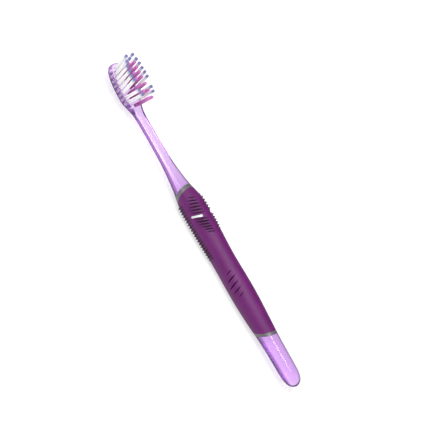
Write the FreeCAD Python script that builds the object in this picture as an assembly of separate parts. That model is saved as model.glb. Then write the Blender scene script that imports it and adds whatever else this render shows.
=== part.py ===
import FreeCAD, Part
import math
import os

# A manual toothbrush: a translucent one-piece body, a grey core with a band at each end of the grip, a soft
# overmoulded grip with grooved thumb panels, two white inlay bars, and tufts held in blind holes by flat
# anchors. Millimetres and degrees. The brush lies on its back: +X points to the tip of the head, +Z to the
# bristle side, and Z = 0 is the plane that it rests on. "along" is a place on the handle axis, counted from
# the tip.

Vector = FreeCAD.Vector

# Lengths along the axis, one after the other from the tip
head_length = 29.0
neck_length = 46.4
band_width = 2.5
grip_length = 80.0
tail_band_width = 1.8
tail_length = 30.3

# Head
head_width = 13.0
head_thickness = 4.0
head_tilt = 4.5
bed_height = 0.55
bed_trim = 0.45
bed_end_inset = 2.4
bed_cove_radius = 6.0

# Neck
neck_width = 5.8
neck_front_depth = 0.6
neck_back_depth = 3.7

# Grip: depths run from the handle axis, and the flat that it rests on is cut into the back
grip_width = 13.8
grip_front_depth = 6.1
grip_back_depth = 6.9
rest_flat_depth = 0.3
grip_wall = 1.6
band_slope = 26.5

# Tail
tail_width = 10.4
tail_front_depth = 4.5
tail_back_depth = 5.0

# Spine of the body, inside the core
spine_width = 6.0
spine_depth = 5.0
spine_root = 6.0

# Wedges: the section of every rib and groove, from its edge to its base
wedge_depth = 1.0
wedge_half_width = 0.6

# Thumb panels, one on each side of the front ridge: ribs that start at the panel's front edge, with a slot
# for an inlay bar in their middle
panel_front_angle = 15.5
panel_half_span = 37.0
panel_slope = 19.0
panel_rib_height = 0.7
panel_rib_pitch = 1.66
slot_angle = 58.0
slot_from_band = 13.1
slot_to_rib = 1.72

# Palm panels lower on the grip, with wider spaced grooves that slant the other way
palm_from_band = 52.0
palm_angle = 54.0
palm_pitch = 3.2
palm_slope = -20.0
palm_groove_depth = 0.5

# Ribs on both flanks of the back
rib_from_band = 4.57
rib_angle = 128.0
rib_half_span = 36.0
rib_pitch = 1.61
rib_count = 20
rib_height = 0.8

# Inlay bars
inlay_length = 6.1
inlay_width = 1.1
inlay_recess = 0.2
inlay_seat_depth = 0.2
inlay_clearance = 0.04

# Tufts and anchors
tuft_diameter = 1.7
tuft_clearance = 0.03
first_row_inset = 3.45
last_row_inset = 4.25
group_gap = 0.4
heel_spread = 1.2
bristle_length = 11.5
hole_floor = 1.0
anchor_thickness = 0.25
anchor_height = 1.4
anchor_bite = 0.2
anchor_fold = 0.4
anchor_clearance = 0.02

# Counts, the squareness of a round section, and the overrun of every cut
last_front_row = 6
last_front_inner = 4
points_around = 24
round_squareness = 2.0
overrun = 1.0

# Leans of the tufts, towards the tip where positive: the tip tuft, the outer and inner columns, the heel
tip_lean = 11.5
outer_leans = (11.5, 11.5, 11.5, 11.5, 11.5, 11.5, -3.5, -3.5)
inner_leans = (11.5, 11.5, 11.0, 9.0, 4.0, -3.0)
heel_lean = -4.5

# Direction round a section where its curve starts, counted from +Y
seam_angle = -15.0

# Shares, chosen by hand. Head: place on its length, width, thickness and squareness of the section.
head_shares = (
    (0.0, 0.10, 0.22, 3.0),
    (0.007, 0.325, 0.48, 3.2),
    (0.024, 0.53, 0.76, 3.6),
    (0.068, 0.70, 0.94, 4.3),
    (0.153, 0.845, 1.0, 5.3),
    (0.289, 0.965, 1.0, 6.0),
    (0.48, 1.0, 1.0, 6.0),
    (0.64, 0.985, 1.0, 6.0),
    (0.77, 0.875, 1.0, 5.0),
    (0.875, 0.65, 1.0, 3.6),
)
# Neck: place on its length, how far it has gone over from the neck's size to the grip's, squareness
shoulder_share = 0.1
neck_shares = (
    (0.086, 0.0, 2.3),
    (0.216, 0.0, 2.2),
    (0.388, 0.01, 2.2),
    (0.539, 0.05, 2.15),
    (0.668, 0.13, 2.1),
    (0.776, 0.26, 2.05),
    (0.884, 0.42, 2.0),
    (0.983, 0.60, 2.0),
)
# Grip: place on its length, how far it has gone over from the neck's size to the grip's
grip_rise_shares = ((0.014, 0.82), (0.052, 0.99), (0.10, 1.0), (0.19, 1.0))
# Grip: place on its length, width, front depth and back depth
grip_shares = (
    (0.32, 0.98, 0.99, 1.0),
    (0.45, 0.88, 0.90, 1.0),
    (0.57, 0.92, 0.92, 1.0),
    (0.69, 0.97, 0.95, 1.0),
    (0.81, 0.95, 0.92, 0.98),
    (0.93, 0.86, 0.84, 0.91),
)
# Tail: place on the stretch from the lower band to the end, how far it has gone over from the grip's size
# to the tail's, and how much of that size is left by the rounded end
tail_shares = (
    (0.153, 0.8, 1.0),
    (0.45, 1.0, 1.0),
    (0.70, 1.0, 0.99),
    (0.84, 1.0, 0.94),
    (0.925, 1.0, 0.76),
    (0.97, 1.0, 0.52),
    (0.992, 1.0, 0.28),
    (1.0, 1.0, 0.10),
)
# Thumb panel ribs, from the slot outwards: span and height
panel_rib_shares = ((1.0, 1.0), (0.96, 1.0), (0.89, 1.0), (0.80, 1.0), (0.69, 0.9), (0.60, 0.6))
# Palm panel grooves, from the band downwards: span and depth
palm_groove_shares = ((0.45, 0.8), (0.75, 1.0), (0.9, 1.0), (0.75, 1.0), (0.45, 0.8))
# Tufts: bristle length by row of the outer columns, of the inner columns and of the heel, place of the
# columns on half the head's width, by row for the outer ones, how far the inner rows stand behind the outer
# ones on the row pitch, flare at the tip and its rounding
outer_length_shares = (1.02, 1.01, 0.99, 0.985, 1.01, 1.02, 0.965, 0.985)
inner_length_share = 0.94
heel_length_share = 0.97
outer_column_shares = (0.335, 0.53, 0.67, 0.725, 0.745, 0.745, 0.69, 0.60)
inner_column_share = 0.275
stagger_share = 0.5
tuft_flare_share = 1.08
tuft_round_share = 0.5

# Places that follow from the lengths
band_start = head_length + neck_length
band_end = band_start + band_width
tail_band_start = band_end + grip_length
tail_band_end = tail_band_start + tail_band_width
overall_length = tail_band_end + tail_length
axis_height = grip_back_depth - rest_flat_depth
slot_along = band_end + slot_from_band
hole_depth = head_thickness - hole_floor
tuft_radius = tuft_diameter / 2
row_pitch = (head_length - first_row_inset - last_row_inset - group_gap) / len(outer_leans)


def between(first, last, share):
    """The value that lies this share of the way from first to last."""
    return first + (last - first) * share


def axis_point(along):
    """The point of the handle axis at this place."""
    return Vector(overall_length / 2 - along, 0, axis_height)


def bed_level(along):
    """Height of the bristle bed over the handle axis."""
    return bed_height + (head_length - along) * math.tan(math.radians(head_tilt))


class Section:
    """A rounded cross-section: half width, top, bottom and widest level over the axis, and squareness."""

    def __init__(self, along, half_width, top, bottom, middle, squareness):
        self.along = along
        self.half_width = half_width
        self.top = top
        self.bottom = bottom
        self.middle = middle
        self.squareness = squareness

    def inset(self, depth):
        """The section that lies this deep under the surface."""
        return Section(
            self.along,
            self.half_width - depth,
            self.top - depth,
            self.bottom + depth,
            self.middle,
            self.squareness,
        )

    def points(self):
        """Control points of the closed curve, which stand a little outside it."""
        step = 2 * math.pi / points_around
        outside_share = 3 / (2 + math.cos(step))
        power = 2 / self.squareness
        centre = axis_point(self.along) + Vector(0, 0, self.middle)
        found = []
        for index in range(points_around):
            angle = math.radians(seam_angle) + index * step
            across = math.copysign(abs(math.cos(angle)) ** power, math.cos(angle))
            upward = math.copysign(abs(math.sin(angle)) ** power, math.sin(angle))
            depth = self.top - self.middle if upward > 0 else self.middle - self.bottom
            offset = Vector(0, self.half_width * across, depth * upward)
            found.append(centre + offset * outside_share)
        return found


def head_sections():
    """The head, whose skin stands proud of the bristle bed by what is trimmed off there."""
    found = []
    for place, width, thickness, squareness in head_shares:
        along = place * head_length
        middle = bed_level(along) - head_thickness / 2
        half_thickness = thickness * head_thickness / 2
        top = middle + half_thickness + thickness * bed_trim
        found.append(
            Section(along, width * head_width / 2, top, middle - half_thickness, middle, squareness)
        )
    return found


def neck_sections():
    """The neck, from its shoulder to the band, where it has half the size of the grip."""
    _, _, shoulder_squareness = neck_shares[0]
    half_width = between(neck_width, head_width, shoulder_share) / 2
    found = [Section(head_length, half_width, neck_front_depth, -neck_back_depth, 0, shoulder_squareness)]
    for place, grown, squareness in neck_shares:
        found.append(grown_section(head_length + place * neck_length, grown, squareness))
    return found


def grown_section(along, grown, squareness):
    """A section between the neck's size and the grip's."""
    return Section(
        along,
        between(neck_width, grip_width, grown) / 2,
        between(neck_front_depth, grip_front_depth, grown),
        -between(neck_back_depth, grip_back_depth, grown),
        0,
        squareness,
    )


def grip_sections():
    """The grip: its rise from the neck, then its swell, waist and palm swell."""
    found = []
    for place, grown in grip_rise_shares:
        found.append(grown_section(band_end + place * grip_length, grown, round_squareness))
    for place, width, front, back in grip_shares:
        along = band_end + place * grip_length
        top = front * grip_front_depth
        bottom = -back * grip_back_depth
        found.append(Section(along, width * grip_width / 2, top, bottom, 0, round_squareness))
    return found


def tail_sections():
    """The tail, which goes on from the last section of the grip."""
    last = grip_sections()[-1]
    found = []
    for place, gone, left in tail_shares:
        along = between(tail_band_start, overall_length, place)
        found.append(
            Section(
                along,
                between(last.half_width, tail_width / 2, gone) * left,
                between(last.top, tail_front_depth, gone) * left,
                -between(-last.bottom, tail_back_depth, gone) * left,
                0,
                last.squareness,
            )
        )
    return found


def skin(sections):
    """A solid whose smooth side follows the sections, closed by a flat face at each end."""
    poles = [section.points() for section in sections]
    degree = min(3, len(sections) - 1)
    spans = len(sections) - degree
    knots = list(range(spans + 1))
    multiplicities = [degree + 1] + [1] * (spans - 1) + [degree + 1]
    around_knots = list(range(points_around + 1))
    surface = Part.BSplineSurface()
    surface.buildFromPolesMultsKnots(
        poles, multiplicities, [1] * (points_around + 1), knots, around_knots, False, True, degree, 3
    )
    side = surface.toShape()
    rims = [edge for edge in side.Edges if edge.isClosed()]
    faces = [side] + [Part.Face(Part.Wire([rim])) for rim in rims]
    shell = Part.Shell(faces)
    shell.sewShape()
    solid = Part.Solid(shell)
    if solid.Volume < 0:
        solid.reverse()
    return solid


def surface_radius(along, angle):
    """Distance from the handle axis to the grip's surface, in a direction counted from the front."""
    sections = grip_sections()
    before = max((s for s in sections if s.along <= along), key=lambda s: s.along, default=sections[0])
    after = min((s for s in sections if s.along > along), key=lambda s: s.along, default=sections[-1])
    gap = after.along - before.along
    share = (along - before.along) / gap if gap else 0
    half_width = between(before.half_width, after.half_width, share)
    front = between(before.top, after.top, share)
    back = -between(before.bottom, after.bottom, share)
    across = math.sin(math.radians(angle))
    forward = math.cos(math.radians(angle))
    depth = front if forward > 0 else back
    return 1 / math.hypot(across / half_width, forward / depth)


def half_space(along, slope, towards_tip):
    """A block on one side of a slanted plane across the handle, which holds that side of the brush."""
    size = 2 * overall_length
    block = Part.makeBox(size, size, size, Vector(0 if towards_tip else -size, -size / 2, -size / 2))
    turn = FreeCAD.Rotation(Vector(0, 1, 0), slope)
    block.Placement = FreeCAD.Placement(axis_point(along), turn).multiply(block.Placement)
    return block


def slice_between(solid, first, first_slope, last, last_slope):
    """The stretch of a solid between two slanted planes."""
    beyond_first = solid.common(half_space(first, first_slope, False))
    return beyond_first.common(half_space(last, last_slope, True))


def radial(angle, side):
    """Unit vector from the axis, at an angle from the front; side is +1 for +Y and -1 for -Y."""
    turned = math.radians(angle)
    return Vector(0, side * math.sin(turned), math.cos(turned))


def line_direction(angle, side, slope):
    """Unit vector round the grip towards the front, slanted towards the tail."""
    turned = math.radians(angle)
    slant = math.radians(slope)
    forward = Vector(0, -side * math.cos(turned), math.sin(turned))
    return forward * math.cos(slant) + Vector(-1, 0, 0) * math.sin(slant)


class GripLine:
    """A line round part of the grip, on which a rib stands out or a groove dips in, most in its middle."""

    def __init__(self, along, angle, side, slope, half_span):
        self.middle = axis_point(along)
        self.outward = radial(angle, side)
        self.normal = self.outward.cross(line_direction(angle, side, slope))
        self.surface = surface_radius(along, angle)
        self.end = (surface_radius(along, angle - half_span) + surface_radius(along, angle + half_span)) / 2
        self.end_cosine = math.cos(math.radians(half_span))

    def ring(self, edge, base):
        """A round wedge whose edge is this far from the axis in the middle, and at the surface at its ends."""
        offset = (edge**2 - self.end**2) / (2 * (edge - self.end * self.end_cosine))
        centre = self.middle + self.outward * offset
        tip = self.middle + self.outward * edge
        root = self.middle + self.outward * base
        half = self.normal * wedge_half_width
        section = Part.Face(Part.makePolygon([tip, root + half, root - half, tip]))
        return section.revolve(centre, self.normal, 360)

    def rib(self, height):
        edge = self.surface + height
        return self.ring(edge, edge - wedge_depth)

    def groove(self, depth):
        edge = self.surface - depth
        return self.ring(edge, edge + wedge_depth)


def thumb_ribs(side):
    """Ribs of one thumb panel, above and below its slot."""
    rings = []
    for index, (span, height) in enumerate(panel_rib_shares):
        from_slot = slot_to_rib + index * panel_rib_pitch
        half_span = span * panel_half_span
        angle = panel_front_angle + half_span
        for along in (slot_along - from_slot, slot_along + from_slot):
            line = GripLine(along, angle, side, panel_slope, half_span)
            rings.append(line.rib(height * panel_rib_height))
    return rings


def palm_grooves(side):
    """Grooves of one palm panel."""
    middle = (len(palm_groove_shares) - 1) / 2
    rings = []
    for index, (span, depth) in enumerate(palm_groove_shares):
        along = band_end + palm_from_band + (index - middle) * palm_pitch
        line = GripLine(along, palm_angle, side, palm_slope, span * panel_half_span)
        rings.append(line.groove(depth * palm_groove_depth))
    return rings


def back_ribs(side):
    """Ribs on one flank of the back."""
    rings = []
    for index in range(rib_count):
        along = band_end + rib_from_band + index * rib_pitch
        rings.append(GripLine(along, rib_angle, side, 0, rib_half_span).rib(rib_height))
    return rings


def inlay_floor():
    """Distance from the axis to the seat of an inlay bar, just under the core's surface at its ends."""
    core_radius = surface_radius(slot_along, slot_angle) - grip_wall
    return math.sqrt(core_radius**2 - (inlay_length / 2) ** 2) - inlay_seat_depth


def inlay_block(side, clearance):
    """A round-ended block that stands on the inlay's seat and passes out through the grip."""
    outward = radial(slot_angle, side)
    run = line_direction(slot_angle, side, panel_slope)
    sideways = outward.cross(run)
    half_width = inlay_width / 2 + clearance
    to_end = inlay_length / 2 - inlay_width / 2
    centre = axis_point(slot_along) + outward * inlay_floor()
    near = centre - run * to_end
    far = centre + run * to_end
    outline = Part.Wire(
        [
            Part.makeLine(near + sideways * half_width, far + sideways * half_width),
            Part.Arc(
                far + sideways * half_width, far + run * half_width, far - sideways * half_width
            ).toShape(),
            Part.makeLine(far - sideways * half_width, near - sideways * half_width),
            Part.Arc(
                near - sideways * half_width, near - run * half_width, near + sideways * half_width
            ).toShape(),
        ]
    )
    height = surface_radius(slot_along, slot_angle) - inlay_floor() + overrun
    return Part.Face(outline).extrude(outward * height)


def spine():
    """The bar that joins the neck to the tail inside the core."""
    ends = (band_start - spine_root, tail_band_end + spine_root)
    half_depth = spine_depth / 2
    return skin([Section(at, spine_width / 2, half_depth, -half_depth, 0, round_squareness) for at in ends])


class Tuft:
    """A tuft: its name, the place of its root on the bed, its lean and its length over the bed."""

    def __init__(self, name, along, across, lean, length_share):
        tilt = math.radians(head_tilt)
        leaning = math.radians(lean)
        towards_tip = Vector(math.cos(tilt), 0, math.sin(tilt))
        upward = Vector(-math.sin(tilt), 0, math.cos(tilt))
        self.name = name
        self.root = axis_point(along) + Vector(0, across, bed_level(along))
        self.direction = upward * math.cos(leaning) + towards_tip * math.sin(leaning)
        self.edgewise = Vector(0, 1, 0).cross(self.direction)
        self.length = bristle_length * length_share
        self.floor = self.root - self.direction * hole_depth

    def hole(self):
        depth = hole_depth + overrun
        return Part.makeCylinder(tuft_radius + tuft_clearance, depth, self.floor, self.direction)

    def anchor(self, clearance):
        """The flat anchor over the fold of the tuft, whose ears bite into the wall of the hole."""
        width = tuft_diameter + 2 * (tuft_clearance + anchor_bite + clearance)
        thickness = anchor_thickness + 2 * clearance
        height = anchor_height + 2 * clearance
        plate = Part.makeBox(thickness, width, height, Vector(-thickness / 2, -width / 2, 0))
        turn = FreeCAD.Rotation(self.edgewise, Vector(0, 1, 0), self.direction, "ZXY")
        base = self.floor + self.direction * (anchor_fold - clearance)
        plate.Placement = FreeCAD.Placement(base, turn)
        return plate

    def solid(self):
        """The folded tuft: straight in its hole, flared above it, with a rounded end."""
        tip_radius = tuft_radius * tuft_flare_share
        rooted = Part.makeCylinder(tuft_radius, hole_depth, self.floor, self.direction)
        flared = Part.makeCone(tuft_radius, tip_radius, self.length, self.root, self.direction)
        tuft = rooted.fuse(flared).removeSplitter()
        rim = max(tuft.Edges, key=lambda edge: edge.CenterOfMass.dot(self.direction))
        rounded = tuft.makeFillet(tip_radius * tuft_round_share, [rim])
        return rounded.cut(self.anchor(anchor_clearance))


def row_along(row, last_front):
    """Place of a row of tufts, where rows behind the last one of the front group stand off by a gap."""
    return first_row_inset + row * row_pitch + (0 if row < last_front else group_gap)


def tufts():
    """Every tuft: the tip tuft, the outer columns, the staggered inner columns and the heel pair."""
    half_width = head_width / 2
    sides = (("left", 1), ("right", -1))
    found = [Tuft("tuft_tip", row_along(stagger_share, last_front_row), 0, tip_lean, inner_length_share)]
    for row, lean in enumerate(outer_leans):
        along = row_along(row, last_front_row)
        across = outer_column_shares[row] * half_width
        for side, sign in sides:
            name = f"tuft_{side}_{row + 1}"
            found.append(Tuft(name, along, sign * across, lean, outer_length_shares[row]))
    for row, lean in enumerate(inner_leans):
        along = row_along(row + 1 + stagger_share, last_front_inner + 1)
        across = inner_column_share * half_width
        for side, sign in sides:
            name = f"tuft_inner_{side}_{row + 1}"
            found.append(Tuft(name, along, sign * across, lean, inner_length_share))
    heel = row_along(len(outer_leans), last_front_row)
    for side, sign in sides:
        found.append(Tuft(f"tuft_heel_{side}", heel, sign * heel_spread, heel_lean, heel_length_share))
    return found


def bed_cut():
    """What is cut off over the bristle bed, ending in a cove at the shoulder."""
    end = head_length - bed_end_inset
    reach = end + overrun
    width = head_width + 2 * overrun
    height = 2 * bed_cove_radius
    block = Part.makeBox(reach, width, height, Vector(0, -width / 2, 0))
    cove = Part.makeCylinder(
        bed_cove_radius, width, Vector(0, -width / 2, bed_cove_radius), Vector(0, 1, 0)
    )
    cut = block.fuse(cove)
    turn = FreeCAD.Rotation(Vector(0, 1, 0), -head_tilt)
    cut.Placement = FreeCAD.Placement(axis_point(end) + Vector(0, 0, bed_level(end)), turn)
    return cut


def brush_body(envelope, all_tufts):
    """Head, neck, spine and tail in one piece, with the holes and anchor slots of the tufts."""
    neck = envelope.common(half_space(band_start, band_slope, True))
    tail = envelope.common(half_space(tail_band_end, -band_slope, False))
    cuts = [bed_cut()]
    cuts += [tuft.hole() for tuft in all_tufts]
    cuts += [tuft.anchor(anchor_clearance) for tuft in all_tufts]
    head_and_neck = neck.cut(cuts)
    return head_and_neck.fuse([spine(), tail]).removeSplitter()


def under_rest():
    """All that lies under the plane that the brush rests on."""
    size = 2 * overall_length
    return Part.makeBox(size, size, size, Vector(-size / 2, -size / 2, -size))


def grip_core(envelope, inside, bar_blocks):
    """The grey core under the grip, with a band at each end and a seat for each inlay bar."""
    band = slice_between(envelope, band_start, band_slope, band_end, band_slope).cut(under_rest())
    tail_band = slice_between(envelope, tail_band_start, -band_slope, tail_band_end, -band_slope)
    core = inside.fuse([band, tail_band]).removeSplitter()
    return core.cut([spine()] + bar_blocks)


def grip_overmould(envelope, inside, bar_blocks):
    """The soft grip: ribbed thumb panels and back, grooved palm panels, a flat to rest on."""
    grip = slice_between(envelope, band_end, band_slope, tail_band_start, -band_slope)
    for side in (1, -1):
        grip = grip.fuse(thumb_ribs(side)).fuse(back_ribs(side))
    grip = grip.cut([inside, under_rest()]).cut(bar_blocks)
    for side in (1, -1):
        grip = grip.cut(palm_grooves(side))
    return grip


def inlay_bar(side, lowered):
    """A white bar that fills the slot of a thumb panel to just under the grip's surface."""
    return inlay_block(side, 0).common(lowered)


def single(shape):
    """The one solid of a shape that has only one."""
    (solid,) = shape.Solids
    return solid


def write(name, shape):
    shape.exportStep(os.path.join("parts", name + ".step"))


def main():
    os.makedirs("parts", exist_ok=True)
    envelope = skin(head_sections() + neck_sections() + grip_sections() + tail_sections())
    covered = neck_sections()[-3:] + grip_sections() + tail_sections()[:2]
    deep = skin([section.inset(grip_wall) for section in covered])
    inside = slice_between(deep, band_end, band_slope, tail_band_start, -band_slope)
    lowered = skin([section.inset(inlay_recess) for section in covered])
    bar_blocks = [inlay_block(side, inlay_clearance) for side in (1, -1)]
    all_tufts = tufts()
    write("brush_body", single(brush_body(envelope, all_tufts)))
    write("grip_core", single(grip_core(envelope, inside, bar_blocks)))
    write("grip_overmould", single(grip_overmould(envelope, inside, bar_blocks)))
    write("inlay_bar_left", single(inlay_bar(1, lowered)))
    write("inlay_bar_right", single(inlay_bar(-1, lowered)))
    for tuft in all_tufts:
        write(tuft.name, single(tuft.solid()))
    write("tuft_anchors", Part.makeCompound([tuft.anchor(0) for tuft in all_tufts]))


main()
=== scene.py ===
import math
import random

import bmesh
import bpy
import numpy as np
from mathutils import Matrix, Vector


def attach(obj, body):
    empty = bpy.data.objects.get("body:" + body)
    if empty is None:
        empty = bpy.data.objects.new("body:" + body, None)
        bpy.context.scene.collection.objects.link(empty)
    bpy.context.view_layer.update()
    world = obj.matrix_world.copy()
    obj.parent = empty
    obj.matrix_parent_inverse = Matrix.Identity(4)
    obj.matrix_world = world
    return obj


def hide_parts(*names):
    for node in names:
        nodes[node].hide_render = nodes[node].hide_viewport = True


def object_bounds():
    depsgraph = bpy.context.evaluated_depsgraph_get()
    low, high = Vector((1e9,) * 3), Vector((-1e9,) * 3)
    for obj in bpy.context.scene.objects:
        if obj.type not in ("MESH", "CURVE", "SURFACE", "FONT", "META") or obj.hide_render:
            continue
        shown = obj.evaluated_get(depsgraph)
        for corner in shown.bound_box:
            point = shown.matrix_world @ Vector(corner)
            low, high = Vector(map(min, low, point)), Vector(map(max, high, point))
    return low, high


# A manual toothbrush on a white studio floor, dressed over its solids: a smooth clear body in place of
# the solid one, soft grip, satin bands, and a bundle of nylon filaments for each tuft. Metres and radians,
# in the frame of the solids: +X points to the tip of the head, +Z to the bristle side, and the brush lies
# on its back at Z = 0. "along" is a place on the handle axis, counted from the tip.

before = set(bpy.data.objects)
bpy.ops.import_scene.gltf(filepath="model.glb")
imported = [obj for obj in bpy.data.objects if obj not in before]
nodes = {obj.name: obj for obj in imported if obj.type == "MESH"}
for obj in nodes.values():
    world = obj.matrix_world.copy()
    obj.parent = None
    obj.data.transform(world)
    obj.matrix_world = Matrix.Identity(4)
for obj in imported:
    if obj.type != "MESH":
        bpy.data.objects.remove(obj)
cad_low, cad_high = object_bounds()

# Sizes of the body, as its solid has them
head_length = 0.029
neck_length = 0.0464
band_width = 0.0025
grip_length = 0.080
tail_band_width = 0.0018
head_width = 0.013
head_thickness = 0.004
head_tilt = math.radians(4.5)
bed_height = 0.00055
bed_trim = 0.00045
bed_end_inset = 0.0024
bed_cove_radius = 0.006
neck_width = 0.0058
neck_front_depth = 0.0006
neck_back_depth = 0.0037
grip_width = 0.0138
grip_front_depth = 0.0061
grip_back_depth = 0.0069
rest_flat_depth = 0.0003
band_slope = math.radians(26.5)
tail_width = 0.0104
tail_front_depth = 0.0045
tail_back_depth = 0.005
spine_width = 0.006
spine_depth = 0.005
spine_root = 0.006
hole_radius = 0.00088
overrun = 0.001

# Sections of the body, as shares of its sizes. Head: place, width, thickness and squareness.
head_shares = (
    (0.0, 0.10, 0.22, 3.0),
    (0.007, 0.325, 0.48, 3.2),
    (0.024, 0.53, 0.76, 3.6),
    (0.068, 0.70, 0.94, 4.3),
    (0.153, 0.845, 1.0, 5.3),
    (0.289, 0.965, 1.0, 6.0),
    (0.48, 1.0, 1.0, 6.0),
    (0.64, 0.985, 1.0, 6.0),
    (0.77, 0.875, 1.0, 5.0),
    (0.875, 0.65, 1.0, 3.6),
)
# Neck: place, how far it has gone over to the grip's size, squareness
shoulder_share = 0.1
neck_shares = (
    (0.086, 0.0, 2.3),
    (0.216, 0.0, 2.2),
    (0.388, 0.01, 2.2),
    (0.539, 0.05, 2.15),
    (0.668, 0.13, 2.1),
    (0.776, 0.26, 2.05),
    (0.884, 0.42, 2.0),
    (0.983, 0.60, 2.0),
)
# Grip: place, how far it has gone over to the grip's size; then place, width, front depth and back depth
grip_rise_shares = ((0.014, 0.82), (0.052, 0.99), (0.10, 1.0), (0.19, 1.0))
grip_shares = (
    (0.32, 0.98, 0.99, 1.0),
    (0.45, 0.88, 0.90, 1.0),
    (0.57, 0.92, 0.92, 1.0),
    (0.69, 0.97, 0.95, 1.0),
    (0.81, 0.95, 0.92, 0.98),
    (0.93, 0.86, 0.84, 0.91),
)
# Tail: place from the lower band to the end, how far it has gone over to the tail's size, how much is left
tail_shares = (
    (0.153, 0.8, 1.0),
    (0.45, 1.0, 1.0),
    (0.70, 1.0, 0.99),
    (0.84, 1.0, 0.94),
    (0.925, 1.0, 0.76),
    (0.97, 1.0, 0.52),
    (0.992, 1.0, 0.28),
    (1.0, 1.0, 0.10),
)
round_squareness = 2.0

# Places that follow from the sizes
overall_length = cad_high.x - cad_low.x
axis_height = grip_back_depth - rest_flat_depth
band_start = head_length + neck_length
band_end = band_start + band_width
tail_band_start = band_end + grip_length
tail_band_end = tail_band_start + tail_band_width

# Fineness of the body's mesh
section_points = 24
seam_angle = math.radians(-15)
rings_per_span = 12
ring_points = 96
hole_sides = 40
cove_steps = 24
sharp_angle = math.radians(28)

# Filaments
filament_radius = 0.000095
filament_count = 54
filament_sides = 6
bed_depth = 0.003
plate_room = 0.00013
end_slice = 0.0003
tip_length_spread = 0.00016
tip_side_spread = 0.00010
root_radius = 0.00084
tip_radius_share = 1.04
outward_splay = math.radians(1.2)
tone_spread = 0.13
colour_spread = 0.012
golden_angle = math.pi * (3 - math.sqrt(5))
filament_seed = 11

# Camera: the photograph's view, as directions in the frame of the solids
image_width = 430
view_width = 0.2193
camera_distance = 0.95
sensor_width_mm = 36.0
camera_right = Vector((-0.496, -0.615, 0.613))
camera_up = Vector((0.8595, -0.248, 0.4455))
anchor_pixel = (185.2, 192.0)
anchor_from_tip = 0.0763

# Studio: size of the floor; place, size and power of each light; the dome and the direction of its card
floor_size = 6.0
key_place = Vector((0.5, 0.9, 1.3))
key_size = 0.9
key_power = 8.0
fill_place = Vector((-0.9, -0.3, 1.2))
fill_size = 1.2
fill_power = 2.5
top_place = Vector((0.16, 0.16, 1.0))
top_size = 0.5
top_power = 6.0
dome_strength = 0.72
card_direction = Vector((0.0, -0.93, 0.37))

# Painted shade on the sides of the clear body: the direction that the left one faces, how much of the
# painted shade the head has, and the length over which it fades there
side_direction = Vector((0.0, 0.93, -0.37))
head_side_shade_share = 0.88
side_fade = 0.004


# Materials

def new_material(name):
    """A material with a Principled shader, and its node tree."""
    material = bpy.data.materials.new(name)
    material.use_nodes = True
    tree = material.node_tree
    return material, tree, tree.nodes["Principled BSDF"]


def add_node(tree, kind, **settings):
    node = tree.nodes.new(kind)
    for name, value in settings.items():
        setattr(node, name, value)
    return node


def object_noise(tree, scale, detail=2.0):
    """Noise that sits in the object's own coordinates, which are metres."""
    where = add_node(tree, "ShaderNodeTexCoord")
    noise = add_node(tree, "ShaderNodeTexNoise")
    noise.inputs["Scale"].default_value = scale
    noise.inputs["Detail"].default_value = detail
    tree.links.new(where.outputs["Object"], noise.inputs["Vector"])
    return noise.outputs["Fac"]


def map_range(tree, value, low, high):
    """The value, from 0 to 1, laid over the range from low to high."""
    node = add_node(tree, "ShaderNodeMapRange")
    node.inputs["To Min"].default_value = low
    node.inputs["To Max"].default_value = high
    tree.links.new(value, node.inputs["Value"])
    return node.outputs["Result"]


def colour_ramp(tree, value, stops):
    """A ramp of (place, colour) stops."""
    node = add_node(tree, "ShaderNodeValToRGB")
    elements = node.color_ramp.elements
    while len(elements) < len(stops):
        elements.new(0.5)
    for element, (place, colour) in zip(elements, stops):
        element.position = place
        element.color = (*colour, 1)
    tree.links.new(value, node.inputs["Fac"])
    return node.outputs["Color"]


def multiply(tree, colour, factor):
    """The colour times a grey factor."""
    node = add_node(tree, "ShaderNodeMix", data_type="RGBA", blend_type="MULTIPLY")
    node.inputs["Factor"].default_value = 1.0
    tree.links.new(colour, node.inputs["A"])
    tree.links.new(factor, node.inputs["B"])
    return node.outputs["Result"]


def add_bump(tree, shader, height, strength, distance):
    node = add_node(tree, "ShaderNodeBump")
    node.inputs["Strength"].default_value = strength
    node.inputs["Distance"].default_value = distance
    tree.links.new(height, node.inputs["Height"])
    tree.links.new(node.outputs["Normal"], shader.inputs["Normal"])


def sideways_share(tree):
    """How far the surface faces to a side and a little backwards, from 0 to 1."""
    surface = add_node(tree, "ShaderNodeNewGeometry")
    apart = add_node(tree, "ShaderNodeVectorMath", operation="MULTIPLY")
    apart.inputs[1].default_value = (0, side_direction.y, 0)
    tree.links.new(surface.outputs["Normal"], apart.inputs[0])
    width = add_node(tree, "ShaderNodeVectorMath", operation="LENGTH")
    tree.links.new(apart.outputs["Vector"], width.inputs[0])
    depth = add_node(tree, "ShaderNodeVectorMath", operation="DOT_PRODUCT")
    depth.inputs[1].default_value = (0, 0, side_direction.z)
    tree.links.new(surface.outputs["Normal"], depth.inputs[0])
    total = add_node(tree, "ShaderNodeMath", operation="ADD", use_clamp=True)
    tree.links.new(width.outputs["Value"], total.inputs[0])
    tree.links.new(depth.outputs["Value"], total.inputs[1])
    return total.outputs["Value"]


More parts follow.
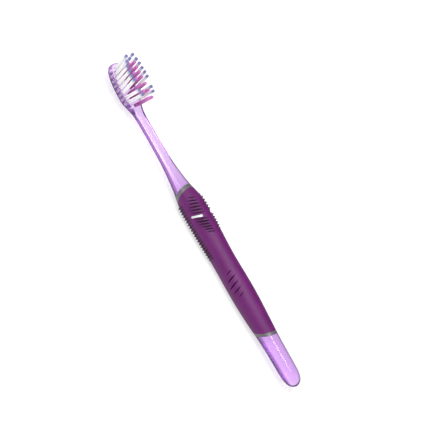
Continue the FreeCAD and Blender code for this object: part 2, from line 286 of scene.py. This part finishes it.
def painted_side_shade_share(tree):
    """How much painted shade the surface has on its sides, from 0 to 1: all of it on the neck, less on the
    head.
    """
    where = add_node(tree, "ShaderNodeTexCoord")
    split = add_node(tree, "ShaderNodeSeparateXYZ")
    tree.links.new(where.outputs["Object"], split.inputs["Vector"])
    paler = add_node(tree, "ShaderNodeMapRange")
    paler.inputs["From Min"].default_value = cad_high.x - head_length - side_fade
    paler.inputs["From Max"].default_value = cad_high.x - head_length + side_fade
    paler.inputs["To Min"].default_value = 1.0
    paler.inputs["To Max"].default_value = head_side_shade_share
    tree.links.new(split.outputs["X"], paler.inputs["Value"])
    share = add_node(tree, "ShaderNodeMath", operation="MULTIPLY")
    tree.links.new(sideways_share(tree), share.inputs[0])
    tree.links.new(paler.outputs["Result"], share.inputs[1])
    return share.outputs["Value"]


def clear_plastic():
    """Clear plastic, a little milky, with a purple tint that deepens with thickness, painted shade on its
    sides and edges and a weak painted glow.
    """
    material, tree, shader = new_material("clear_purple_plastic")
    # Painted shade: the glass colour turns dark purple where the surface turns away from the camera,
    # standing in for dark refracted edges
    facing = add_node(tree, "ShaderNodeLayerWeight")
    facing.inputs["Blend"].default_value = 0.5
    pale = (0.985, 0.955, 0.99)
    dark = (0.04, 0.006, 0.09)
    painted_edge_shade = colour_ramp(tree, facing.outputs["Facing"], ((0.38, pale), (0.70, dark)))
    # Painted shade: surfaces that face sideways and back turn deeper purple, standing in for the darker
    # sides that light gives the neck
    white = (1.0, 1.0, 1.0)
    purple = (0.15, 0.04, 0.25)
    painted_side_shade = colour_ramp(tree, painted_side_shade_share(tree), ((0.72, white), (0.92, purple)))
    tree.links.new(multiply(tree, painted_edge_shade, painted_side_shade), shader.inputs["Base Color"])
    shader.inputs["Transmission Weight"].default_value = 1.0
    shader.inputs["IOR"].default_value = 1.49
    shader.inputs["Specular IOR Level"].default_value = 0.22
    # Painted glow: a weak purple emission stands in for light that scatters inside the clear plastic
    shader.inputs["Emission Color"].default_value = (0.50, 0.14, 0.90, 1)
    shader.inputs["Emission Strength"].default_value = 0.04
    roughness = map_range(tree, object_noise(tree, scale=300.0), low=0.06, high=0.08)
    tree.links.new(roughness, shader.inputs["Roughness"])
    absorption = add_node(tree, "ShaderNodeVolumeAbsorption")
    absorption.inputs["Color"].default_value = (0.62, 0.05, 0.84, 1)
    absorption.inputs["Density"].default_value = 90.0
    output = tree.nodes["Material Output"]
    tree.links.new(absorption.outputs["Volume"], output.inputs["Volume"])
    return material


def soft_grip():
    """Dark purple soft rubber with a fine moulded grain, and painted shade in its grooves."""
    material, tree, shader = new_material("soft_purple_grip")
    patches = object_noise(tree, scale=160.0, detail=4.0)
    dark = (0.100, 0.005, 0.098)
    light = (0.124, 0.008, 0.122)
    colour = colour_ramp(tree, patches, ((0.3, dark), (0.7, light)))
    # Painted shade: ambient occlusion darkens the colour in the grooves between the ribs
    groove_shade_ao = add_node(tree, "ShaderNodeAmbientOcclusion", samples=8)
    groove_shade_ao.inputs["Distance"].default_value = 0.0022
    deep = (0.06, 0.06, 0.06)
    open_air = (1.0, 1.0, 1.0)
    shade = colour_ramp(tree, groove_shade_ao.outputs["AO"], ((0.52, deep), (0.93, open_air)))
    tree.links.new(multiply(tree, colour, shade), shader.inputs["Base Color"])
    grain = object_noise(tree, scale=5200.0, detail=3.0)
    tree.links.new(map_range(tree, grain, low=0.42, high=0.60), shader.inputs["Roughness"])
    add_bump(tree, shader, grain, strength=0.18, distance=0.00004)
    shader.inputs["Specular IOR Level"].default_value = 0.32
    return material


def satin_core():
    """Silver grey plastic with fine flake."""
    material, tree, shader = new_material("satin_grey_core")
    flake = object_noise(tree, scale=9000.0, detail=1.0)
    dark = (0.090, 0.085, 0.090)
    light = (0.165, 0.157, 0.165)
    colour = colour_ramp(tree, flake, ((0.35, dark), (0.65, light)))
    tree.links.new(colour, shader.inputs["Base Color"])
    tree.links.new(map_range(tree, flake, low=0.28, high=0.42), shader.inputs["Roughness"])
    shader.inputs["Metallic"].default_value = 0.25
    return material


def inlay_plastic():
    """Glossy white plastic."""
    material, tree, shader = new_material("gloss_white_inlay")
    mottle = object_noise(tree, scale=700.0)
    dark = (0.60, 0.68, 0.64)
    light = (0.66, 0.73, 0.69)
    colour = colour_ramp(tree, mottle, ((0.3, dark), (0.7, light)))
    tree.links.new(colour, shader.inputs["Base Color"])
    tree.links.new(map_range(tree, mottle, low=0.12, high=0.22), shader.inputs["Roughness"])
    return material


def anchor_metal():
    """Drawn white-metal strip."""
    material, tree, shader = new_material("white_metal_anchor")
    streak = object_noise(tree, scale=3000.0)
    dark = (0.72, 0.72, 0.73)
    light = (0.84, 0.84, 0.84)
    colour = colour_ramp(tree, streak, ((0.3, dark), (0.7, light)))
    tree.links.new(colour, shader.inputs["Base Color"])
    tree.links.new(map_range(tree, streak, low=0.25, high=0.40), shader.inputs["Roughness"])
    shader.inputs["Metallic"].default_value = 1.0
    return material


def bristle_nylon(name, stops, painted_glow):
    """Nylon filaments, coloured along their length by the stops, each with a tone of its own, and a weak
    painted glow.
    """
    material, tree, shader = new_material(name)
    along = add_node(tree, "ShaderNodeAttribute", attribute_name="along")
    tone = add_node(tree, "ShaderNodeAttribute", attribute_name="tone")
    colour = multiply(tree, colour_ramp(tree, along.outputs["Fac"], stops), tone.outputs["Fac"])
    tree.links.new(colour, shader.inputs["Base Color"])
    # Painted glow: the filaments emit their own colour, standing in for light that scatters inside them
    tree.links.new(colour, shader.inputs["Emission Color"])
    shader.inputs["Emission Strength"].default_value = painted_glow
    sheen = object_noise(tree, scale=2500.0)
    tree.links.new(map_range(tree, sheen, low=0.25, high=0.42), shader.inputs["Roughness"])
    return material


def white_bristle():
    white = (0.95, 0.95, 0.94)
    pale = (0.62, 0.66, 0.82)
    blue = (0.23, 0.24, 0.47)
    stops = ((0.0, white), (0.82, white), (0.90, pale), (0.975, blue))
    return bristle_nylon("white_bristle", stops, painted_glow=0.17)


def magenta_bristle():
    deep = (0.46, 0.11, 0.40)
    light = (0.72, 0.27, 0.65)
    stops = ((0.0, deep), (0.4, deep), (0.92, light))
    return bristle_nylon("magenta_bristle", stops, painted_glow=0.10)


def floor_paint():
    """Plain pale floor with a weak light of its own, so that it shows white."""
    material, tree, shader = new_material("studio_floor")
    mottle = object_noise(tree, scale=3.0)
    dark = (0.43, 0.43, 0.43)
    light = (0.45, 0.45, 0.45)
    colour = colour_ramp(tree, mottle, ((0.3, dark), (0.7, light)))
    tree.links.new(colour, shader.inputs["Base Color"])
    shader.inputs["Roughness"].default_value = 0.9
    shader.inputs["Emission Color"].default_value = (1, 1, 1, 1)
    shader.inputs["Emission Strength"].default_value = 0.62
    return material


# Clear body

def between(first, last, share):
    """The value that lies this share of the way from first to last."""
    return first + (last - first) * share


def axis_point(along):
    """The point of the handle axis at this place."""
    return Vector((cad_high.x - along, 0, axis_height))


def bed_level(along):
    """Height of the bristle bed over the handle axis."""
    return bed_height + (head_length - along) * math.tan(head_tilt)


def grown_section(along, grown, squareness):
    """A section between the neck's size and the grip's, in the form that body_sections gives."""
    half_width = between(neck_width, grip_width, grown) / 2
    top = between(neck_front_depth, grip_front_depth, grown)
    bottom = -between(neck_back_depth, grip_back_depth, grown)
    return along, half_width, top, bottom, 0, squareness


def body_sections():
    """Sections from the tip to the tail: place, half width, top, bottom, middle and squareness of each."""
    found = []
    for place, width, thickness, squareness in head_shares:
        along = place * head_length
        middle = bed_level(along) - head_thickness / 2
        half = thickness * head_thickness / 2
        top = middle + half + thickness * bed_trim
        found.append((along, width * head_width / 2, top, middle - half, middle, squareness))
    shoulder = between(neck_width, head_width, shoulder_share) / 2
    found.append((head_length, shoulder, neck_front_depth, -neck_back_depth, 0, neck_shares[0][2]))
    for place, grown, squareness in neck_shares:
        found.append(grown_section(head_length + place * neck_length, grown, squareness))
    for place, grown in grip_rise_shares:
        found.append(grown_section(band_end + place * grip_length, grown, round_squareness))
    for place, width, front, back in grip_shares:
        top = front * grip_front_depth
        bottom = -back * grip_back_depth
        along = band_end + place * grip_length
        found.append((along, width * grip_width / 2, top, bottom, 0, round_squareness))
    _, last_width, last_top, last_bottom, _, _ = found[-1]
    for place, gone, left in tail_shares:
        half_width = between(last_width, tail_width / 2, gone) * left
        top = between(last_top, tail_front_depth, gone) * left
        bottom = between(last_bottom, -tail_back_depth, gone) * left
        along = between(tail_band_start, overall_length, place)
        found.append((along, half_width, top, bottom, 0, round_squareness))
    return found


def control_row(section):
    """Control points round one section, which stand a little outside it."""
    along, half_width, top, bottom, middle, squareness = section
    step = 2 * math.pi / section_points
    outside_share = 3 / (2 + math.cos(step))
    power = 2 / squareness
    centre = axis_point(along) + Vector((0, 0, middle))
    row = []
    for index in range(section_points):
        angle = seam_angle + index * step
        across = math.copysign(abs(math.cos(angle)) ** power, math.cos(angle))
        upward = math.copysign(abs(math.sin(angle)) ** power, math.sin(angle))
        depth = top - middle if upward > 0 else middle - bottom
        row.append(centre + Vector((0, half_width * across, depth * upward)) * outside_share)
    return row


def spline_weights(count, place):
    """Weights of the rows of a cubic spline that starts and ends on its end rows, at a place in spans."""
    spans = count - 3
    knots = [0] * 3 + list(range(spans + 1)) + [spans] * 3
    weights = [float(low <= place < high) for low, high in zip(knots, knots[1:])]
    for degree in (1, 2, 3):
        raised = []
        for index in range(len(weights) - 1):
            rise = knots[index + degree] - knots[index]
            fall = knots[index + degree + 1] - knots[index + 1]
            weight = (place - knots[index]) / rise * weights[index] if rise else 0
            weight += (knots[index + degree + 1] - place) / fall * weights[index + 1] if fall else 0
            raised.append(weight)
        weights = raised
    return weights


def round_weights():
    """Weights of a section's control points for each point of a ring, on a closed cubic spline."""
    weights = np.zeros((ring_points, section_points))
    for row in range(ring_points):
        first, part = divmod(row * section_points / ring_points, 1)
        rest = 1 - part
        cubic = (rest**3, 4 - 6 * part**2 + 3 * part**3, 4 - 6 * rest**2 + 3 * rest**3, part**3)
        for step, weight in enumerate(cubic):
            weights[row, (int(first) + step) % section_points] = weight / 6
    return weights


def body_rings(first, last):
    """Rings of the outline between two places along the handle."""
    sections = body_sections()
    rows = np.array([control_row(section) for section in sections])
    places = np.array([section[0] for section in sections])
    spans = len(sections) - 3
    around = round_weights()
    rings = []
    for index in range(spans * rings_per_span):
        weights = np.array(spline_weights(len(sections), index / rings_per_span))
        if first <= weights @ places <= last:
            rings.append(around @ np.tensordot(weights, rows, 1))
    if last >= overall_length:
        rings.append(around @ rows[-1])
    return rings


def new_object(name, mesh):
    piece = bpy.data.objects.new(name, mesh)
    bpy.context.scene.collection.objects.link(piece)
    return piece


def add_rings(shape, rings):
    """Adds a closed tube through rings of points to a mesh in the making."""
    made = [[shape.verts.new(point) for point in ring] for ring in rings]
    for lower, upper in zip(made, made[1:]):
        for index in range(len(lower)):
            after = (index + 1) % len(lower)
            shape.faces.new((lower[index], lower[after], upper[after], upper[index]))
    shape.faces.new(list(reversed(made[0])))
    shape.faces.new(made[-1])


def finished_mesh(name, shape):
    bmesh.ops.recalc_face_normals(shape, faces=shape.faces)
    mesh = bpy.data.meshes.new(name)
    shape.to_mesh(mesh)
    shape.free()
    return mesh


def cut_flat(shape, along, slope):
    """Cuts a tube by a slanted plane across the handle, and closes it; what the plane faces is cut off."""
    towards_tail = Vector((-math.cos(slope), 0, math.sin(slope)))
    if slope < 0:
        towards_tail = -towards_tail
    everything = list(shape.verts) + list(shape.edges) + list(shape.faces)
    bmesh.ops.bisect_plane(
        shape, geom=everything, plane_co=axis_point(along), plane_no=towards_tail, clear_outer=True
    )
    open_edges = [edge for edge in shape.edges if edge.is_boundary]
    bmesh.ops.holes_fill(shape, edges=open_edges)


def body_end(name, first, last, cut_along, slope):
    """One end of the body, from the outline's rings to the slanted plane where the band begins."""
    shape = bmesh.new()
    add_rings(shape, body_rings(first, last))
    cut_flat(shape, cut_along, slope)
    return new_object(name, finished_mesh(name, shape))


def spine_tube():
    """The bar that joins the neck to the tail inside the grip."""
    rings = []
    for along in (band_start - spine_root, tail_band_end + spine_root):
        ring = []
        for index in range(ring_points):
            angle = 2 * math.pi * index / ring_points
            across = math.cos(angle) * spine_width / 2
            ring.append(axis_point(along) + Vector((0, across, math.sin(angle) * spine_depth / 2)))
        rings.append(ring)
    shape = bmesh.new()
    add_rings(shape, rings)
    return new_object("spine", finished_mesh("spine", shape))


def bed_cutter():
    """What is cut off over the bristle bed, with a cove at the shoulder."""
    end = head_length - bed_end_inset
    origin = axis_point(end) + Vector((0, 0, bed_level(end)))
    towards_tip = Vector((math.cos(head_tilt), 0, math.sin(head_tilt)))
    upward = Vector((-math.sin(head_tilt), 0, math.cos(head_tilt)))
    reach = end + overrun
    outline = [(reach, 0), (reach, 2 * bed_cove_radius)]
    for step in range(cove_steps + 1):
        angle = math.pi * step / cove_steps
        outline.append((-bed_cove_radius * math.sin(angle), bed_cove_radius * (1 + math.cos(angle))))
    rings = []
    for side in (-1, 1):
        across = Vector((0, side * (head_width / 2 + overrun), 0))
        rings.append([origin + towards_tip * x + upward * z + across for x, z in outline])
    shape = bmesh.new()
    add_rings(shape, rings)
    return new_object("bed_cutter", finished_mesh("bed_cutter", shape))


def hole_cutters(spaces):
    """The blind holes that the tufts stand in."""
    shape = bmesh.new()
    for space in spaces:
        rings = []
        for height in (0, bed_depth + overrun):
            ring = []
            for index in range(hole_sides):
                angle = 2 * math.pi * index / hole_sides
                round_offset = space.sideways * math.cos(angle) + space.forward * math.sin(angle)
                ring.append(space.floor + space.upward * height + round_offset * hole_radius)
            rings.append(ring)
        add_rings(shape, rings)
    return new_object("hole_cutters", finished_mesh("hole_cutters", shape))


def join_or_cut(piece, tool, operation):
    """Joins a tool to a piece or cuts it out, and removes the tool."""
    modifier = piece.modifiers.new("boolean", "BOOLEAN")
    modifier.operation = operation
    modifier.solver = "EXACT"
    modifier.object = tool
    view = bpy.context.evaluated_depsgraph_get()
    mesh = bpy.data.meshes.new_from_object(piece.evaluated_get(view))
    piece.modifiers.clear()
    piece.data = mesh
    bpy.data.objects.remove(tool)


def dress_body(spaces):
    """The clear body as one smooth mesh: head with its holes, neck, spine and tail."""
    reach = grip_back_depth * math.tan(band_slope) + 2 * overrun
    body = body_end("clear_body", 0, band_start + reach, band_start, band_slope)
    tail = body_end("tail", tail_band_end - reach, overall_length, tail_band_end, -band_slope)
    join_or_cut(body, spine_tube(), "UNION")
    join_or_cut(body, tail, "UNION")
    join_or_cut(body, bed_cutter(), "DIFFERENCE")
    join_or_cut(body, hole_cutters(spaces), "DIFFERENCE")
    mesh = body.data
    mesh.name = body.name
    mesh.polygons.foreach_set("use_smooth", [True] * len(mesh.polygons))
    mesh.set_sharp_from_angle(angle=sharp_angle)
    mesh.materials.clear()
    mesh.materials.append(clear_plastic())
    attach(body, "root")
    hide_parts("brush_body")


# Bristles

def end_middle(points, highest):
    """Middle of the thin slice of points at the low or the high end."""
    heights = [point.z for point in points]
    limit = max(heights) - end_slice if highest else min(heights) + end_slice
    chosen = [point for point in points if (point.z >= limit if highest else point.z <= limit)]
    low = [min(point[axis] for point in chosen) for axis in range(3)]
    high = [max(point[axis] for point in chosen) for axis in range(3)]
    return (Vector(low) + Vector(high)) / 2


class TuftSpace:
    """The space that a tuft's solid holds: its axis, its floor, its length and its side."""

    def __init__(self, name):
        points = [vertex.co for vertex in nodes[name].data.vertices]
        self.name = name
        self.floor = end_middle(points, False)
        self.upward = (end_middle(points, True) - self.floor).normalized()
        self.sideways = Vector((0, 1, 0))
        self.forward = self.sideways.cross(self.upward)
        self.length = max((point - self.floor).dot(self.upward) for point in points)


class BundleMesh:
    """Collects the tubes of one bundle: points and faces, and each point's place and tone."""

    def __init__(self):
        self.points = []
        self.faces = []
        self.along = []
        self.tone = []

    def add_ring(self, centre, across, forward, radius, share, tone):
        first = len(self.points)
        for index in range(filament_sides):
            angle = 2 * math.pi * index / filament_sides
            self.points.append(centre + (across * math.cos(angle) + forward * math.sin(angle)) * radius)
            self.along.append(share)
            self.tone.append(tone)
        return list(range(first, first + filament_sides))

    def add_tube(self, rings, across, forward, tone):
        """rings are (centre, radius, share), from the root to the tip."""
        made = []
        for centre, radius, share in rings:
            made.append(self.add_ring(centre, across, forward, radius, share, tone))
        for lower, upper in zip(made, made[1:]):
            for index in range(filament_sides):
                after = (index + 1) % filament_sides
                self.faces.append((lower[index], lower[after], upper[after], upper[index]))
        self.faces.append(tuple(reversed(made[0])))
        self.faces.append(tuple(made[-1]))


def filament_rings(space, offset, tip_offset, length, colour_shift):
    """Rings of one filament: straight in its hole, spreading over the bed, with a rounded end."""
    reach_shares = ((0.0, 0.0), (0.35, 0.12), (0.7, 0.5), (0.92, 0.86))
    rings = [(space.floor + offset, filament_radius, 0.0)]
    free = length - bed_depth
    for place, spread in reach_shares:
        height = bed_depth + place * free
        centre = space.floor + space.upward * height + offset.lerp(tip_offset, spread)
        rings.append((centre, filament_radius, height / length + colour_shift))
    end_shares = ((1.0, 1.0), (0.55, 0.85), (0.2, 0.55), (0.0, 0.2))
    for back, width in end_shares:
        height = length - back * filament_radius
        centre = space.floor + space.upward * height + tip_offset
        rings.append((centre, filament_radius * width, height / length + colour_shift))
    return rings


def bristle_bundle(space, material, dice):
    """The bundle of filaments that stands for a tuft's solid."""
    bundle = BundleMesh()
    across = space.floor.y
    splay = math.copysign(math.tan(outward_splay), across) if abs(across) > root_radius else 0
    reach = root_radius - filament_radius
    tip_reach = root_radius * tip_radius_share - filament_radius
    for index in range(filament_count):
        spread = math.sqrt((index + 0.5) / filament_count)
        angle = index * golden_angle
        side = spread * math.cos(angle)
        front = spread * math.sin(angle)
        rooted_front = math.copysign(plate_room + filament_radius, front) + front * (reach - plate_room)
        rooted_front = max(-reach, min(reach, rooted_front))
        offset = space.sideways * side * reach + space.forward * rooted_front
        tip_offset = (
            space.sideways * (side * tip_reach + splay * space.length + dice.gauss(0, tip_side_spread))
            + space.forward * (front * tip_reach + dice.gauss(0, tip_side_spread))
        )
        length = space.length - abs(dice.gauss(0, tip_length_spread))
        tone = 1 - abs(dice.gauss(0, tone_spread))
        rings = filament_rings(space, offset, tip_offset, length, dice.gauss(0, colour_spread))
        bundle.add_tube(rings, space.sideways, space.forward, tone)
    mesh = bpy.data.meshes.new(space.name.replace("tuft", "bristles"))
    mesh.from_pydata(bundle.points, [], bundle.faces)
    mesh.polygons.foreach_set("use_smooth", [True] * len(mesh.polygons))
    mesh.attributes.new("along", "FLOAT", "POINT").data.foreach_set("value", bundle.along)
    mesh.attributes.new("tone", "FLOAT", "POINT").data.foreach_set("value", bundle.tone)
    mesh.materials.append(material)
    piece = new_object(mesh.name, mesh)
    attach(piece, "root")
    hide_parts(space.name)
    return piece


def dress_bristles(spaces):
    dice = random.Random(filament_seed)
    white = white_bristle()
    magenta = magenta_bristle()
    for space in spaces:
        coloured = "inner" in space.name or "heel" in space.name
        piece = bristle_bundle(space, magenta if coloured else white, dice)


# Other pieces and the studio

def dress_nodes():
    """Gives each solid that stays in view its own material."""
    inlay = inlay_plastic()
    finishes = {
        "grip_core": satin_core(),
        "grip_overmould": soft_grip(),
        "inlay_bar_left": inlay,
        "inlay_bar_right": inlay,
        "tuft_anchors": anchor_metal(),
    }
    for name, material in finishes.items():
        nodes[name].data.materials[0] = material


def lay_floor():
    half = floor_size / 2
    mesh = bpy.data.meshes.new("floor")
    corners = [(-half, -half, 0), (half, -half, 0), (half, half, 0), (-half, half, 0)]
    mesh.from_pydata(corners, [], [(0, 1, 2, 3)])
    mesh.materials.append(floor_paint())
    new_object("floor", mesh)


def area_light(name, place, size, power):
    """A square softbox that faces the brush."""
    light = bpy.data.lights.new(name, "AREA")
    light.size = size
    light.energy = power
    lamp = new_object(name, light)
    lamp.location = place
    lamp.rotation_euler = (-place).to_track_quat("-Z", "Y").to_euler()


def light_studio():
    """A pale dome with a purple card low on the far side, a large key light, a fill and a top light."""
    world = bpy.data.worlds.new("studio")
    bpy.context.scene.world = world
    world.use_nodes = True
    tree = world.node_tree
    where = add_node(tree, "ShaderNodeTexCoord")
    split = add_node(tree, "ShaderNodeSeparateXYZ")
    tree.links.new(where.outputs["Generated"], split.inputs["Vector"])
    white = (1.0, 1.0, 1.0)
    horizon = (0.27, 0.15, 0.37)
    purple = (0.14, 0.05, 0.22)
    sky = colour_ramp(tree, split.outputs["Z"], ((0.0, horizon), (0.4, white)))
    nearness = add_node(tree, "ShaderNodeVectorMath", operation="DOT_PRODUCT")
    tree.links.new(where.outputs["Generated"], nearness.inputs[0])
    nearness.inputs[1].default_value = card_direction
    card = colour_ramp(tree, nearness.outputs["Value"], ((0.78, white), (0.9, purple)))
    background = tree.nodes["Background"]
    tree.links.new(multiply(tree, sky, card), background.inputs["Color"])
    background.inputs["Strength"].default_value = dome_strength
    area_light("key", key_place, key_size, key_power)
    area_light("fill", fill_place, fill_size, fill_power)
    area_light("top", top_place, top_size, top_power)


def set_camera():
    """The photograph's view: the handle's axis passes through the anchor pixel."""
    backward = camera_right.cross(camera_up).normalized()
    up = backward.cross(camera_right).normalized()
    right = up.cross(backward)
    per_pixel = view_width / image_width
    to_right = (anchor_pixel[0] - image_width / 2) * per_pixel
    to_top = (image_width / 2 - anchor_pixel[1]) * per_pixel
    target = axis_point(anchor_from_tip) - right * to_right - up * to_top
    data = bpy.data.cameras.new("camera")
    data.sensor_width = sensor_width_mm
    data.lens = sensor_width_mm * camera_distance / view_width
    camera = new_object("camera", data)
    turn = Matrix((right, up, backward)).transposed().to_4x4()
    camera.matrix_world = Matrix.Translation(target + backward * camera_distance) @ turn
    bpy.context.scene.camera = camera


def main():
    tuft_names = [name for name in sorted(nodes) if name.startswith("tuft_") and name != "tuft_anchors"]
    spaces = [TuftSpace(name) for name in tuft_names]
    dress_nodes()
    dress_body(spaces)
    dress_bristles(spaces)
    lay_floor()
    light_studio()
    set_camera()
    bpy.context.scene.view_settings.view_transform = "Standard"


main()
